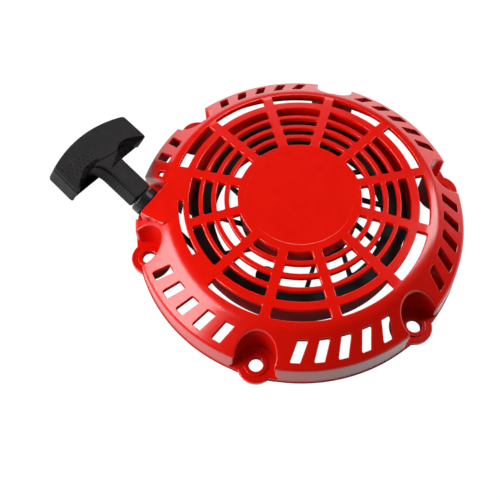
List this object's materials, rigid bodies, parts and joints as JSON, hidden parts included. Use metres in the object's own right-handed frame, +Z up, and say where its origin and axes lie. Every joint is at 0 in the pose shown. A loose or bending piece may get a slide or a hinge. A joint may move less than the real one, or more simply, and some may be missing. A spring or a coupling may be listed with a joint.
{
  "type": "recoil starter",
  "caption": "Pull-cord engine starter: a round vented cup with a slotted grille and scalloped mounting ears, over a rope reel with pawls, and a T-shaped grip.",
  "frame": {"origin": "centre of the bounding box in plan, on the mounting plane under the ears", "axes": "+Z up along the starter axis, away from the engine; the rope is pulled towards -Y and upwards; +X to the pull line's side"},
  "size_m": [0.205, 0.2374, 0.0569],
  "materials": {
    "red_plastic": "glossy injection-moulded polypropylene, pigmented red",
    "black_plastic": "semi-matte moulded nylon",
    "grip_plastic": "matte moulded grip with a dimpled top",
    "black_nylon": "smooth wear-resistant nylon",
    "rope": "braided polyester cord",
    "steel": "pressed steel",
    "spring_steel": "blued spring steel with a film of grease",
    "zinc_steel": "bright zinc plate",
    "brass": "turned brass"
  },
  "bodies": {
    "cover": {"housing": "red_plastic", "screw_insert": "brass", "rope_guide": "black_nylon", "recoil_spring": "spring_steel", "rope_lead": "rope", "thrust_washer": "zinc_steel", "centre_screw": "zinc_steel"},
    "reel_body": {"reel": "black_plastic", "rope_coil": "rope", "reel_knot": "rope", "pawl_spring_1": "spring_steel", "pawl_spring_2": "spring_steel"},
    "handle": {"grip": "grip_plastic", "grip_collar": "black_nylon", "grip_washer": "zinc_steel", "grip_knot": "rope"},
    "guide": {"guide_plate": "zinc_steel", "friction_spring": "spring_steel"},
    "pawl_a": {"pawl_1": "steel"},
    "pawl_b": {"pawl_2": "steel"}
  },
  "joints": [
    {"name": "rope_pull", "type": "slide", "parent": "cover", "child": "handle", "axis": [0, -0.9184, 0.3955], "range_m": [0, 0.9], "deforming": ["rope_lead"]},
    {"name": "reel_spin", "type": "hinge", "parent": "cover", "child": "reel_body", "pos_m": [0, 0.01257, 0.016], "axis": [0, 0, -1], "range_deg": [0, 882.28], "stiffness_Nm_per_rad": 0.03, "springref_deg": -720.21, "deforming": ["recoil_spring"]},
    {"name": "guide_turn", "type": "hinge", "parent": "reel_body", "child": "guide", "pos_m": [0, 0.01257, 0.008], "axis": [0, 0, 1], "range_deg": [0, 30], "stiffness_Nm_per_rad": 0.01, "springref_deg": -20.05},
    {"name": "pawl_1_swing", "type": "hinge", "parent": "reel_body", "child": "pawl_a", "pos_m": [0.021, 0.01257, 0.014], "axis": [0, 0, 1], "range_deg": [0, 38.05], "deforming": ["pawl_spring_1"]},
    {"name": "pawl_2_swing", "type": "hinge", "parent": "reel_body", "child": "pawl_b", "pos_m": [-0.021, 0.01257, 0.014], "axis": [0, 0, 1], "range_deg": [0, 38.05], "deforming": ["pawl_spring_2"]}
  ],
  "couplings": [
    {"joint": "reel_spin", "follows": "rope_pull", "rad_per_m": 17.109},
    {"joint": "pawl_1_swing", "follows": "guide_turn", "ratio": 1.2667},
    {"joint": "pawl_2_swing", "follows": "guide_turn", "ratio": 1.2667}
  ]
}
